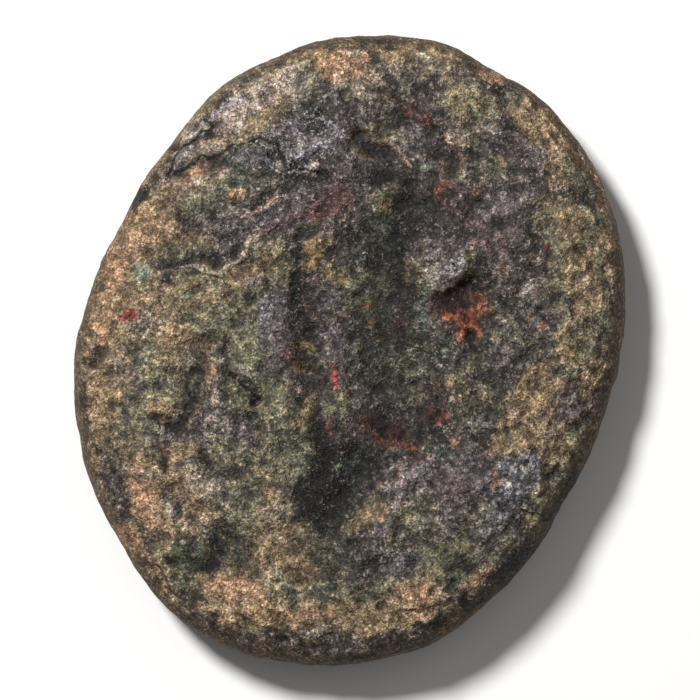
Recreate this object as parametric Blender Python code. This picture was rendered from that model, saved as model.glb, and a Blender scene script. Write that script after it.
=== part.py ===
"""A worn bronze coin of antiquity, lying on its reverse.

The flan is one solid piece of bronze: a thick oval that the striking left with flats and bulges round
its edge. Its obverse is up. The type is worn away to low lumps and hollows, and the reverse is plainer
and is rubbed flat where its highest places meet the table.

Metres, +Z up, +Y towards the top of the obverse, origin under the middle of the coin on the table.
"""

import math
from typing import NamedTuple

import bmesh
import bpy
from mathutils import Matrix, Vector, noise

MM = 0.001

# The flan
LONG_AXIS = 27.0 * MM
SHORT_AXIS = 22.2 * MM
LONG_AXIS_BEARING = math.radians(70)
CENTRE_THICKNESS = 4.0 * MM
BORDER_THICKNESS = 2.9 * MM
EDGE_ROUND = 0.85 * MM  # how far the edge bulges past the border of each face
EDGE_SKEW = 0.25  # the edge is broader on one side of the coin by this share
EDGE_SKEW_BEARING = math.radians(-40)
EDGE_HALF_TURN = math.radians(75)  # the edge's round runs this far each way from level
DOME_POWER = 4  # how late each face turns down towards its border

# The relief
RELIEF_HEIGHT = 0.36 * MM
WEAR_LEVEL = 0.75  # share of the relief's height above which the tops are rubbed down
WEAR_KEEP = 0.45  # share of what stood higher that is left
BORDER_RIDGE_HEIGHT = 0.5  # share of the relief's height
BORDER_RIDGE_PLACE = 0.86  # share of the way out to the border of the face
BORDER_RIDGE_WIDTH = 0.07
REVERSE_RELIEF_HEIGHT = 0.30 * MM
REVERSE_LIFT = 0.8  # how far the reverse's plain face clears the table, in shares of its relief
PITTING_DEPTH = 0.08 * MM
PITTING_SCALE = 3.2 * MM
PITTING_OCTAVES = 3

# The mesh
FACE_CELLS = 42
EDGE_ROWS = 6


class Bend(NamedTuple):
    """A flat (negative) or a bulge (positive) in the coin's outline."""

    bearing_deg: float
    spread_deg: float
    out: float


class Stroke(NamedTuple):
    """A ridge, or with a negative height a groove, along a path over the face.

    Its corners are in shares of the coin's half width and half length. Its width, from its middle to
    where it has nearly ended, is in shares of the half length, and its height is a share of the
    relief's height.
    """

    width: float
    height: float
    corners: tuple


class Lump(NamedTuple):
    """A mound, or with a negative height a hollow.

    Its place is in shares of the coin's half width and half length, its radii are in shares of the half
    length, and its height is a share of the relief's height.
    """

    x: float
    y: float
    along: float
    across: float
    turn_deg: float
    height: float


BENDS = (
    Bend(21, 15, 0.22 * MM),
    Bend(38, 6, 0.08 * MM),
    Bend(63, 6, -0.28 * MM),
    Bend(82, 5, -0.09 * MM),
    Bend(99, 5, 0.10 * MM),
    Bend(115, 9, 0.22 * MM),
    Bend(133, 5, -0.08 * MM),
    Bend(150, 9, -0.18 * MM),
    Bend(184, 13, 0.19 * MM),
    Bend(221, 9, -0.22 * MM),
    Bend(259, 5, -0.10 * MM),
    Bend(286, 11, 0.27 * MM),
    Bend(326, 12, -0.24 * MM),
    Bend(347, 8, -0.13 * MM),
)

OBVERSE_LUMPS = (
    Lump(-0.53, -0.17, 0.40, 0.33, 85, 1.0),  # the broad mass on the left
    Lump(-0.32, 0.69, 0.33, 0.19, 35, 1.1),  # the plateau at the upper left
    Lump(-0.18, 0.48, 0.34, 0.19, 25, 0.9),  # the streaked mass under it
    Lump(0.54, 0.47, 0.36, 0.28, 110, 0.5),
    Lump(0.38, -0.60, 0.34, 0.24, 30, 1.1),  # the mass at the lower right
    Lump(0.30, 0.26, 0.10, 0.07, 20, 1.2),  # the small knob above the deep pit
    Lump(0.24, -0.08, 0.09, 0.09, 0, 0.5),
    Lump(-0.12, 0.29, 0.09, 0.07, 60, 0.5),
    Lump(0.13, 0.45, 0.09, 0.05, 80, 0.4),
    Lump(-0.36, -0.80, 0.16, 0.08, -18, 0.5),
    Lump(0.22, -0.82, 0.16, 0.07, 12, 0.5),
    Lump(0.05, -0.12, 0.40, 0.20, 95, -0.8),  # the broad hollow in the middle
    Lump(0.44, 0.11, 0.10, 0.07, 100, -1.3),  # the deep pit
    Lump(0.42, 0.18, 0.08, 0.045, 20, -1.0),
    Lump(-0.45, -0.64, 0.10, 0.06, 10, -0.6),
    Lump(0.04, -0.76, 0.10, 0.08, 0, -0.4),
    Lump(0.71, 0.12, 0.06, 0.055, 0, -0.4),
)

OBVERSE_STROKES = (
    # the valley that winds down between the masses on the left and on the right
    Stroke(0.085, -1.1, (
        (0.14, 0.65), (0.22, 0.47), (0.19, 0.26), (0.17, 0.04),
        (0.20, -0.20), (0.08, -0.36), (-0.05, -0.48), (-0.10, -0.64),
    )),
    # the valley's bank at the lower right
    Stroke(0.070, 0.45, ((0.00, -0.75), (0.10, -0.61), (0.19, -0.49), (0.27, -0.37))),
    # the thin curved ridge at the head of the valley
    Stroke(0.045, 0.8, ((0.07, 0.69), (0.15, 0.66), (0.20, 0.62), (0.23, 0.55))),
    # the crack across the plateau
    Stroke(0.045, -0.6, (
        (-0.59, 0.56), (-0.52, 0.60), (-0.42, 0.63), (-0.32, 0.66), (-0.26, 0.64), (-0.19, 0.58),
    )),
    # the step at the plateau's outer end
    Stroke(0.050, -0.6, ((-0.52, 0.75), (-0.55, 0.68), (-0.63, 0.58), (-0.69, 0.48))),
    # the ledge between the streaked mass and the left one
    Stroke(0.048, 0.55, ((-0.68, 0.21), (-0.57, 0.26), (-0.46, 0.25), (-0.37, 0.30), (-0.21, 0.36))),
    # the trench and the curved groove on the left mass
    Stroke(0.048, -0.75, ((-0.54, -0.01), (-0.57, -0.13), (-0.62, -0.26))),
    Stroke(0.045, -0.65, ((-0.47, 0.01), (-0.42, -0.09), (-0.34, -0.17), (-0.35, -0.23))),
    # the groove that parts the left mass from the middle
    Stroke(0.050, -0.6, ((-0.18, 0.26), (-0.17, 0.12), (-0.14, -0.04))),
)

REVERSE_LUMPS = (
    Lump(0.02, 0.02, 0.30, 0.24, 75, 1.3),  # the worn middle, which the coin lies on
    Lump(-0.42, -0.42, 0.26, 0.19, 140, 1.5),
    Lump(0.50, -0.30, 0.24, 0.19, 70, 1.5),
    Lump(0.12, 0.62, 0.26, 0.17, 10, 1.5),
    Lump(-0.40, 0.36, 0.14, 0.09, 60, -0.9),
    Lump(0.40, 0.26, 0.15, 0.08, -40, -0.8),
    Lump(0.05, -0.56, 0.17, 0.07, 10, -0.9),
)

FULL_TURN = 2 * math.pi
COPPER_BROWN = (0.13, 0.10, 0.08, 1.0)
PATINA_ROUGHNESS = 0.6
PATINA_METALLIC = 0.35


def half_extents():
    """Half the breadth of the plain oval along X and along Y."""
    long_half = LONG_AXIS / 2
    short_half = SHORT_AXIS / 2
    cosine = math.cos(LONG_AXIS_BEARING)
    sine = math.sin(LONG_AXIS_BEARING)
    return (
        math.hypot(long_half * cosine, short_half * sine),
        math.hypot(long_half * sine, short_half * cosine),
    )


HALF_WIDTH, HALF_LENGTH = half_extents()


def oval_matrix():
    """Carries the unit disc onto the plain oval."""
    turn = Matrix.Rotation(LONG_AXIS_BEARING, 2)
    stretch = Matrix(((LONG_AXIS / 2, 0.0), (0.0, SHORT_AXIS / 2)))
    return turn @ stretch @ turn.transposed()


def bend_at(bearing):
    """How far the outline stands outside the plain oval at this bearing."""
    total = 0.0
    for bend in BENDS:
        away = math.remainder(bearing - math.radians(bend.bearing_deg), FULL_TURN)
        total += bend.out * math.exp(-((away / math.radians(bend.spread_deg)) ** 2))
    return total


def edge_round_at(bearing):
    """How broad the rounded edge is at this bearing."""
    return EDGE_ROUND * (1 + EDGE_SKEW * math.cos(bearing - EDGE_SKEW_BEARING))


def lump_height(lump, point):
    """The lump's height over this point, in shares of the relief's height."""
    away = Vector((point.x - lump.x * HALF_WIDTH, point.y - lump.y * HALF_LENGTH))
    away.rotate(Matrix.Rotation(-math.radians(lump.turn_deg), 2))
    along = away.x / (lump.along * HALF_LENGTH)
    across = away.y / (lump.across * HALF_LENGTH)
    return lump.height * math.exp(-(along**2 + across**2))


def stroke_height(stroke, point):
    """The stroke's height over this point, in shares of the relief's height."""
    nearest = math.inf
    corners = [Vector((x * HALF_WIDTH, y * HALF_LENGTH)) for x, y in stroke.corners]
    for start, end in zip(corners, corners[1:]):
        run = end - start
        share = max(0.0, min(1.0, (point - start).dot(run) / run.length_squared))
        nearest = min(nearest, (point - start - share * run).length)
    return stroke.height * math.exp(-((nearest / (stroke.width * HALF_LENGTH)) ** 2))


def worn(height):
    """Rubs down what stands above the wear level."""
    return min(height, WEAR_LEVEL) + WEAR_KEEP * max(0.0, height - WEAR_LEVEL)


def pitting(point, level):
    """The slow unevenness that corrosion left. The level runs from -1 on the reverse to 1 on the obverse."""
    place = Vector((point.x, point.y, level * CENTRE_THICKNESS)) / PITTING_SCALE
    return PITTING_DEPTH * noise.fractal(place, 1.0, 2.0, PITTING_OCTAVES)


def border_ridge(point, share_out):
    """The low swell inside the border, highest where the edge is broadest."""
    side = 0.5 + 0.5 * math.cos(math.atan2(point.y, point.x) - EDGE_SKEW_BEARING)
    across = (share_out - BORDER_RIDGE_PLACE) / BORDER_RIDGE_WIDTH
    return BORDER_RIDGE_HEIGHT * side * math.exp(-(across**2))


def top_height(point, share_out):
    """The obverse's height over the table."""
    relief = sum(lump_height(lump, point) for lump in OBVERSE_LUMPS)
    relief += sum(stroke_height(stroke, point) for stroke in OBVERSE_STROKES)
    relief += border_ridge(point, share_out)
    drop = (CENTRE_THICKNESS - BORDER_THICKNESS) / 2 * share_out**DOME_POWER
    return CENTRE_THICKNESS - drop + RELIEF_HEIGHT * worn(relief) + pitting(point, 1)


def bottom_height(point, share_out):
    """The reverse's height over the table, rubbed flat where it would reach below the table."""
    relief = REVERSE_LIFT - sum(lump_height(lump, point) for lump in REVERSE_LUMPS)
    rise = (CENTRE_THICKNESS - BORDER_THICKNESS) / 2 * share_out**DOME_POWER
    return max(0.0, rise + REVERSE_RELIEF_HEIGHT * relief + pitting(point, -1))


def square_to_disc(x, y):
    """Carries a point of the square from -1 to 1 onto the unit disc, edge to edge."""
    return x * math.sqrt(1 - y * y / 2), y * math.sqrt(1 - x * x / 2)


def coin_point(cell, oval):
    """Carries a point of the cut cube onto the coin's surface."""
    disc = Vector(square_to_disc(cell.x, cell.y))
    share_out = min(1.0, disc.length)
    plain = oval @ disc
    bearing = math.atan2(plain.y, plain.x)
    outward = Vector((math.cos(bearing), math.sin(bearing)))
    edge_round = edge_round_at(bearing)
    point = plain + outward * share_out**2 * (bend_at(bearing) - edge_round)
    top = top_height(point, share_out)
    bottom = bottom_height(point, share_out)
    turn = cell.z * EDGE_HALF_TURN
    bulge = (math.cos(turn) - math.cos(EDGE_HALF_TURN)) / (1 - math.cos(EDGE_HALF_TURN))
    level = 0.5 + 0.5 * math.sin(turn) / math.sin(EDGE_HALF_TURN)
    point += outward * bulge * (edge_round + pitting(point, cell.z))
    return Vector((point.x, point.y, bottom + (top - bottom) * level))


def cut_cube():
    """A cube from -1 to 1 whose top and bottom are cut into a grid, and its sides into rows."""
    mesh = bmesh.new()
    bmesh.ops.create_cube(mesh, size=2.0)
    level = [edge for edge in mesh.edges if edge.verts[0].co.z == edge.verts[1].co.z]
    bmesh.ops.subdivide_edges(mesh, edges=level, cuts=FACE_CELLS - 1, use_grid_fill=True)
    upright = [edge for edge in mesh.edges if edge.verts[0].co.z != edge.verts[1].co.z]
    bmesh.ops.subdivide_edges(mesh, edges=upright, cuts=EDGE_ROWS - 1, use_grid_fill=True)
    return mesh


def patina_material():
    material = bpy.data.materials.new("bronze_patina")
    material.use_nodes = True
    shader = material.node_tree.nodes["Principled BSDF"]
    shader.inputs["Base Color"].default_value = COPPER_BROWN
    shader.inputs["Roughness"].default_value = PATINA_ROUGHNESS
    shader.inputs["Metallic"].default_value = PATINA_METALLIC
    return material


def make_coin(collection):
    mesh = cut_cube()
    oval = oval_matrix()
    for vertex in mesh.verts:
        vertex.co = coin_point(vertex.co, oval)
    bmesh.ops.triangulate(mesh, faces=mesh.faces)
    bmesh.ops.recalc_face_normals(mesh, faces=mesh.faces)
    data = bpy.data.meshes.new("coin")
    mesh.to_mesh(data)
    mesh.free()
    data.shade_smooth()
    data.materials.append(patina_material())
    coin = bpy.data.objects.new("coin", data)
    collection.objects.link(coin)
    return coin


def main():
    for old in list(bpy.data.objects):
        bpy.data.objects.remove(old)
    collection = bpy.data.collections.new("bronze_coin")
    bpy.context.scene.collection.children.link(collection)
    make_coin(collection)


main()
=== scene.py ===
"""The looks of a worn ancient bronze coin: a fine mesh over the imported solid, its patina, and a studio.

Metres, +Z up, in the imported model's frame. Places on the obverse are in millimetres from the coin's
middle, X to the right and Y to the top, as it is seen from above.
"""

import math
from typing import NamedTuple

import bmesh
import bpy
import numpy as np
from mathutils import Matrix, Vector, noise
from mathutils.bvhtree import BVHTree


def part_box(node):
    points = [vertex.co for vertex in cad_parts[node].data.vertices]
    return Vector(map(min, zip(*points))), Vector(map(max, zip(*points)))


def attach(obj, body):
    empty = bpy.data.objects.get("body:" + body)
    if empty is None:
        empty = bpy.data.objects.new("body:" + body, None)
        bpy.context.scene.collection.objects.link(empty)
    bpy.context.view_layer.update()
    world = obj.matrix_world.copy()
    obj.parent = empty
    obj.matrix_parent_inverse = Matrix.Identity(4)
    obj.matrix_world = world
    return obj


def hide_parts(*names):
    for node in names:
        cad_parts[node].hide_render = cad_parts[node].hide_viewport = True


MM = 0.001

# The fine mesh: a cube's six sides are cut into cells and carried onto the coin
CUBE_CELLS = 128
OBVERSE_END = math.radians(95)  # polar angles on the sphere where the obverse and the edge end
EDGE_END = math.radians(120)
EDGE_DEPTH = 0.85 * MM  # how far the edge's round reaches in from the silhouette
EDGE_RISE = 1.5 * MM
SMOOTH_TURNS = 12
SMOOTH_SHARE = 0.5
TINY = 1e-9  # below this a direction has no bearing

# The studio
PHOTO_PIXELS = 700
PIXELS_PER_MM = 23.93
CAMERA_DISTANCE = 0.35
CAMERA_LEAN = math.radians(4)  # away from straight down
CAMERA_BEARING = math.radians(-50)
CAMERA_SENSOR = 36.0
CAMERA_CLIP = 0.01
FLOOR_SIZE = 1.2
FLOOR_COLOUR = (0.74, 0.73, 0.71)
FLOOR_ROUGHNESS = 0.8
LIGHTS = {  # power, size and place
    "key": (3.16, 0.10, (-0.18, 0.215, 0.36)),
    "fill": (0.25, 0.5, (0.25, 0.10, 0.45)),
}
SKY_STRENGTH = 0.18
SKY_COLOUR = (1.0, 1.0, 1.0, 1.0)


class Patch(NamedTuple):
    """A soft oval of patina: its middle, its two radii in millimetres, its turn, and how dense it is."""

    x: float
    y: float
    along: float
    across: float
    turn_deg: float = 0.0
    density: float = 1.0


class Line(NamedTuple):
    """A groove or a ridge: its width and height in millimetres, and its corners. A streak of patina is one
    whose height is how dense it is.
    """

    width: float
    height: float
    corners: tuple


class Pit(NamedTuple):
    """A round pit, or a lump where its depth is below 0."""

    x: float
    y: float
    radius: float
    depth: float


def ovals(density, *rows):
    """Patches of one density, each from its middle, its two radii and its turn, if it has one."""
    return tuple(Patch(*row, density=density) for row in rows)


# Earthy tan crust, thickest round the border and over the lower left
TAN = (
    Patch(8.5, -3.4, 0.97, 0.66, 60, 1.67),
    Patch(-4.2, 3.1, 0.83, 0.51, 20, 1.55),
    Patch(-0.5, -11.2, 2.47, 0.72, 0, 1.12),
    *ovals(1.1, (6.0, 11.3, 0.8, 0.4, -30), (-0.5, 11.9, 1.3, 0.8, -10), (6.9, -2.9, 0.62, 0.57)),
    Patch(2.7, -10.5, 1.4, 0.87, 15, 1.07),
    *ovals(1.05, (-5.8, 8.3, 0.87, 0.47, 30), (2.5, 12.0, 0.82, 0.39, -10)),
    *ovals(1.0, (-10.0, 2.1, 4.6, 1.5, 80), (-8.6, 5.0, 1.9, 1.2, 40), (-8.4, -6.2, 1.9, 0.8, 100),
        (-9.2, -7.9, 0.9, 0.5, 120), (-4.1, -10.9, 2.6, 0.8, -12), (1.6, -11.2, 1.6, 0.6, 12),
        (4.0, 12.5, 1.2, 0.4, -20), (1.8, 12.6, 0.9, 0.5)),
    Patch(9.8, 2.7, 0.67, 1.08, 0, 0.98),
    Patch(-7.1, 0.0, 0.86, 1.25, 0, 0.93),
    *ovals(0.9, (-5.8, -0.8, 1.3, 0.35, 100), (-7.3, -4.4, 0.9, 0.5, 10), (-10.8, -5.0, 1.6, 0.5, 100),
        (-6.1, -6.9, 0.9, 0.5, -10), (-4.7, -9.9, 1.7, 0.9, -10), (9.8, 2.8, 1.9, 0.8, 100),
        (8.0, 9.3, 1.5, 0.9, -40), (-3.9, 10.2, 2.0, 1.2, 35), (-6.3, 7.4, 0.9, 0.4, 30),
        (-7.3, 9.2, 3.6, 0.5, 50), (-6.7, -7.2, 0.9, 0.5, 10), (-9.7, -1.2, 1.2, 0.7, 90)),
    *ovals(0.8, (-6.6, 4.5, 1.3, 0.5, 10), (-2.9, -8.2, 1.7, 1.2), (-1.8, -9.3, 0.8, 0.6),
        (5.3, -9.7, 0.9, 0.4, 35), (10.0, 7.7, 1.1, 0.3, 120), (-4.6, 6.4, 0.4, 0.3),
        (8.5, -4.4, 0.7, 0.5, 60), (-6.5, -5.9, 1.2, 0.7), (8.8, -2.0, 0.7, 0.6, 60), (-7.8, -2.5, 0.6, 0.5),
        (-7.8, -5.4, 0.8, 0.6)),
    *ovals(0.7, (-8.9, -4.4, 0.6, 0.6), (-7.6, -7.4, 0.8, 0.6), (0.9, -7.0, 0.8, 0.5, 20),
        (9.3, 5.0, 0.8, 0.9), (0.8, 10.9, 0.8, 0.6), (-5.9, 8.2, 0.7, 0.4, 30), (-8.3, 2.5, 0.9, 0.6, 60),
        (0.3, 12.6, 0.9, 0.3), (2.4, 12.6, 0.8, 0.3, -10)),
    Patch(-10.3, -2.4, 2.2, 0.8, 95, 0.65),
    *ovals(0.6, (-7.4, 1.6, 1.8, 1.0, 60), (-3.4, 3.5, 0.6, 0.9), (-7.9, -9.8, 2.2, 0.7, 130),
        (-3.2, -6.2, 0.6, 1.2), (10.1, -1.1, 1.4, 0.6, 70), (8.5, 7.4, 0.9, 0.6, 90),
        (-2.6, 11.8, 1.5, 0.5, 20), (4.8, 8.9, 0.9, 0.6), (-6.2, -7.4, 0.7, 0.4), (-6.2, 6.8, 1.1, 0.7, 20)),
    *ovals(0.5, (-5.6, 2.2, 1.6, 0.5, 10), (10.7, 4.2, 1.4, 0.4, 100), (-7.6, 6.4, 1.4, 0.6, 50),
        (0.2, 11.2, 0.8, 0.5)),
    Patch(4.9, 10.4, 0.9, 0.8, 0, 0.3),
)

# Pinkish earth
PEACH = (
    Patch(8.1, 0.85, 0.28, 0.22, 70, 1.3),
    Patch(6.0, 11.35, 0.55, 0.3, -35, 1.1),
    *ovals(1.0, (-10.4, 0.6, 0.7, 0.4, 80), (-9.2, -7.9, 0.8, 0.45, 125), (-0.4, 11.8, 0.9, 0.7, -10),
        (6.15, -5.55, 0.45, 0.16, 95), (4.5, -4.05, 0.3, 0.15, -20)),
    *ovals(0.9, (-8.4, -6.2, 1.3, 0.6, 110), (-7.6, -3.0, 0.2, 0.15)),
    Patch(-4.9, -10.0, 1.4, 0.7, -10, 0.85),
    *ovals(0.8, (-1.0, -11.2, 0.9, 0.4), (3.0, -10.5, 0.7, 0.7, 15), (7.7, 1.2, 0.25, 0.12, 50),
        (-4.6, 6.4, 0.35, 0.25)),
    Patch(-9.8, 3.4, 2.6, 0.6, 78, 0.75),
    *ovals(0.7, (-6.4, 7.2, 0.9, 0.4, 30), (6.2, 3.35, 0.4, 0.25, 80)),
    *ovals(0.6, (-3.2, -11.1, 1.2, 0.4, -10), (5.6, -9.6, 0.5, 0.3, 40), (-5.7, -0.8, 1.0, 0.25, 100)),
    *ovals(0.5, (-8.3, 4.9, 1.6, 0.8, 30), (1.1, -7.0, 0.4, 0.3)),
    *ovals(0.4, (-8.0, -9.3, 1.2, 0.35, 130), (10.9, 4.6, 1.2, 0.25, 100), (8.2, 8.6, 1.2, 0.5, -50)),
    Line(0.1, 0.5, ((-8.4, 2.6), (-8.0, 3.1), (-7.7, 3.3))),
    Line(0.07, 0.4, ((-7.7, 3.3), (-6.7, 3.4), (-5.7, 3.1), (-5.1, 3.3))),
    Line(0.16, 0.5, ((-5.1, 3.3), (-4.6, 3.8), (-4.1, 4.3), (-3.9, 4.7))),
    Line(0.09, 0.75, ((1.3, 9.1), (1.7, 8.7), (2.0, 8.4), (2.4, 8.0), (2.65, 7.5))),
    Line(0.07, 0.5, ((-4.4, 5.3), (-3.6, 5.8), (-3.0, 6.1), (-2.5, 6.4))),
    Line(0.08, 0.7, ((-7.4, 1.6), (-7.35, 0.8), (-7.4, -0.2))),
    Line(0.09, 0.8, ((10.9, 5.4), (10.3, 7.0), (9.6, 8.2))),
    Line(0.06, 0.6, ((6.4, 8.3), (6.6, 7.9), (6.5, 7.5))),
)

# Greenish khaki crust, between the tan and the dark metal
KHAKI = (
    *ovals(1.1, (-3.3, 3.4, 0.9, 1.4), (-3.0, 10.7, 2.28, 0.99, 30)),
    Patch(9.4, 5.1, 0.89, 0.99, 0, 1.05),
    *ovals(1.0, (-5.4, 2.6, 2.6, 1.1, 10), (-0.3, 3.0, 0.8, 0.5, -30), (-2.9, -2.3, 0.9, 0.8)),
    Patch(0.7, 1.6, 0.6, 0.49, 0, 0.95),
    *ovals(0.9, (-4.1, 0.2, 1.4, 0.8, 80), (-3.6, -2.2, 1.4, 1.0, -20), (-3.4, -8.6, 2.6, 1.6),
        (8.9, 5.4, 1.3, 1.0), (7.1, 10.4, 0.8, 0.5, -30), (2.9, 12.0, 1.6, 0.7), (0.5, 10.7, 0.8, 0.6),
        (2.0, 9.0, 0.8, 0.35, -20), (1.6, 5.8, 1.0, 0.45, 85), (-5.4, -4.0, 0.4, 0.35),
        (-4.2, 2.1, 0.8, 0.6)),
    Patch(-4.1, -1.1, 0.57, 0.72, 0, 0.85),
    Patch(2.9, -7.0, 1.06, 0.94, 0, 0.82),
    *ovals(0.8, (1.1, -6.8, 0.8, 0.6, 20), (4.8, -8.2, 0.6, 0.6), (6.8, -3.9, 0.7, 0.6, 60),
        (9.3, 0.3, 1.4, 0.7, 70), (-7.4, -1.9, 1.0, 0.6), (-7.2, -9.0, 2.0, 0.8, 130), (0.4, -10.6, 4.2, 1.2),
        (3.8, -8.9, 1.4, 1.0, 30), (8.9, -4.3, 1.2, 0.8, 60), (9.5, 3.2, 2.6, 1.3, 95),
        (5.2, 10.3, 1.6, 1.0, -20), (-4.9, -4.3, 1.0, 0.8), (6.4, -2.8, 0.6, 0.9), (-4.3, 9.3, 1.2, 0.8, 30)),
    *ovals(0.72, (-6.7, -0.3, 0.79, 0.85), (-2.0, -8.0, 0.78, 0.67)),
    *ovals(0.7, (-5.6, 1.2, 1.6, 0.9), (-8.2, -0.4, 1.2, 1.4), (-0.5, -2.4, 0.6, 0.6), (-2.9, -4.9, 1.2, 1.0),
        (8.2, -6.1, 0.8, 0.5, 30), (-2.6, -3.8, 1.8, 1.2, -70), (-3.9, -6.6, 1.8, 1.5),
        (6.3, -8.6, 1.2, 0.5, 40), (8.9, 8.4, 2.4, 1.0, 115), (-7.0, 6.2, 1.2, 0.8),
        (4.3, -1.3, 0.6, 0.4, -20), (1.0, 2.8, 0.7, 0.5)),
    *ovals(0.6, (4.8, 3.75, 0.4, 0.25), (3.2, 2.9, 0.5, 0.5), (-7.0, -0.6, 2.6, 2.0, 90),
        (-6.8, -5.3, 1.2, 0.8), (-9.0, -3.5, 2.0, 1.2, 90), (8.1, -6.2, 0.9, 0.6, 60),
        (10.0, 0.3, 2.6, 0.9, 75), (-6.0, 7.8, 1.4, 0.8, 35), (4.8, 3.3, 0.5, 0.4), (-5.0, 7.8, 1.0, 0.5, 20),
        (2.3, -1.9, 0.7, 0.4), (-0.4, -1.9, 0.4, 0.3), (-7.6, 3.8, 0.8, 0.4), (1.4, 2.7, 0.58, 0.52),
        (-4.0, 2.7, 0.6, 0.4)),
    *ovals(0.5, (1.9, 0.6, 0.4, 0.4), (7.9, -7.3, 0.9, 0.3, 60), (2.6, 3.3, 0.7, 0.6),
        (-5.2, 6.9, 1.0, 0.6, 20), (-4.3, -1.0, 0.6, 0.7), (2.2, -7.9, 0.9, 0.6), (6.5, 7.2, 0.9, 0.8),
        (3.0, -2.1, 0.5, 0.3, 20), (5.8, 0.6, 0.6, 0.4), (5.2, -0.8, 0.6, 0.5), (-9.6, -0.9, 0.7, 0.7),
        (8.4, -3.6, 0.7, 0.5), (1.5, 10.2, 0.7, 0.5), (0.7, 8.9, 0.7, 0.4), (-0.6, -8.2, 0.7, 0.5)),
    Patch(5.2, -2.4, 1.2, 1.0, 0, 0.45),
    *ovals(0.4, (2.3, -0.6, 0.8, 0.6), (4.6, -7.0, 1.8, 1.4), (-1.0, -9.0, 1.2, 1.0), (1.2, 2.0, 0.5, 0.4)),
    Patch(7.2, 0.2, 1.0, 1.6, 0, 0.35),
    *ovals(0.3, (2.4, -0.8, 2.2, 1.6), (1.5, 0.6, 1.4, 1.4), (5.2, 7.4, 1.4, 1.2), (-4.4, 6.4, 2.4, 1.2, 25)),
)

# Mustard and ochre stains
OCHRE = (
    Patch(-7.4, 8.7, 3.4, 0.45, 50, 1.3),
    Patch(7.4, -2.2, 1.8, 0.8, 60, 1.2),
    Patch(7.5, -3.8, 0.9, 0.5, 40, 0.8),
    *ovals(0.7, (6.3, -4.3, 0.9, 0.35, 60), (1.7, 5.9, 0.5, 0.35, 80)),
    *ovals(0.6, (-4.4, 11.7, 1.8, 0.3, 35), (9.2, 0.1, 1.1, 0.5, 65), (8.6, 5.8, 0.9, 0.4, -50),
        (7.7, -7.2, 0.4, 0.2, 60)),
    *ovals(0.5, (4.4, -1.3, 0.4, 0.2, -20), (-3.2, -6.3, 0.4, 1.0), (-7.6, -8.3, 0.6, 0.4, 120)),
    *ovals(0.4, (-3.2, 3.9, 0.6, 0.7), (5.8, 9.0, 0.4, 0.2, -10)),
    Patch(5.2, 10.2, 1.1, 0.5, -30, 0.3),
)

# Mustard dots and lumps that lie over the dark metal
MUSTARD = (
    Patch(-1.87, 0.0, 0.26, 0.24, 0, 1.8),
    Patch(-1.7, -0.85, 0.34, 0.28, 0, 1.6),
    *ovals(1.0, (0.95, 1.1, 0.24, 0.2), (1.25, 0.5, 0.22, 0.18)),
    Patch(-1.4, 3.9, 0.75, 0.45, 60, 0.9),
    *ovals(0.8, (-0.4, 2.95, 0.7, 0.4, -35), (-1.6, -2.6, 0.6, 0.28, 80)),
    Patch(-2.2, -3.3, 0.35, 0.25, 0, 0.6),
    Patch(1.6, 5.9, 0.5, 0.3, 80, 0.5),
)

# Bluish verdigris
TEAL = (
    *ovals(0.7, (3.0, 1.5, 0.5, 0.8), (3.2, 7.4, 0.4, 0.3)),
    *ovals(0.6, (3.4, 2.3, 0.4, 0.6), (3.9, 0.3, 0.4, 0.5), (0.2, -4.9, 0.6, 0.5), (3.9, -4.4, 0.4, 0.3)),
    *ovals(0.4, (-8.8, 3.1, 0.5, 0.3, 100), (-0.2, -8.6, 0.8, 0.6)),
)

# Moss and verdigris
GREEN = (
    Patch(-6.6, -8.4, 0.9, 0.55, 10, 1.1),
    *ovals(0.9, (1.3, 5.7, 1.1, 0.6, 80), (1.8, 3.2, 0.35, 0.25)),
    *ovals(0.8, (-4.6, 7.3, 0.8, 0.5, 100), (11.2, 2.9, 0.8, 0.3, 95), (10.4, 5.9, 1.2, 0.4, 105)),
    *ovals(0.7, (1.5, 4.2, 1.0, 0.8, 80), (2.9, 1.2, 0.5, 0.3, 60), (7.0, 10.6, 0.5, 0.3, -30)),
    *ovals(0.6, (-2.6, -3.9, 0.8, 0.5), (4.6, -9.0, 0.6, 0.7), (-1.8, -4.5, 0.9, 0.7, 80),
        (10.9, 1.4, 1.6, 0.4, 90), (4.7, -9.6, 0.8, 0.5, 40), (2.8, 1.3, 0.6, 1.2)),
    *ovals(0.5, (0.0, -4.8, 0.8, 0.5), (-0.6, -2.3, 0.7, 0.5), (9.4, 4.4, 0.9, 0.6),
        (-6.7, 3.9, 1.3, 0.7, 10), (2.4, 11.0, 0.5, 0.4), (0.7, 2.4, 1.4, 1.8), (2.2, 5.2, 0.8, 1.6),
        (-0.4, -6.4, 1.0, 1.6), (3.2, -0.5, 0.9, 0.9)),
    Patch(2.0, -0.4, 2.2, 1.8, 0, 0.45),
    *ovals(0.4, (1.0, 0.0, 1.4, 0.8, 80), (-3.8, -0.3, 0.5, 1.2), (-5.9, 6.4, 1.6, 0.8, 30)),
    *ovals(0.35, (6.4, 1.2, 1.2, 1.2), (-4.7, -0.6, 2.2, 2.8), (5.6, 7.4, 1.0, 1.0)),
)

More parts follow.
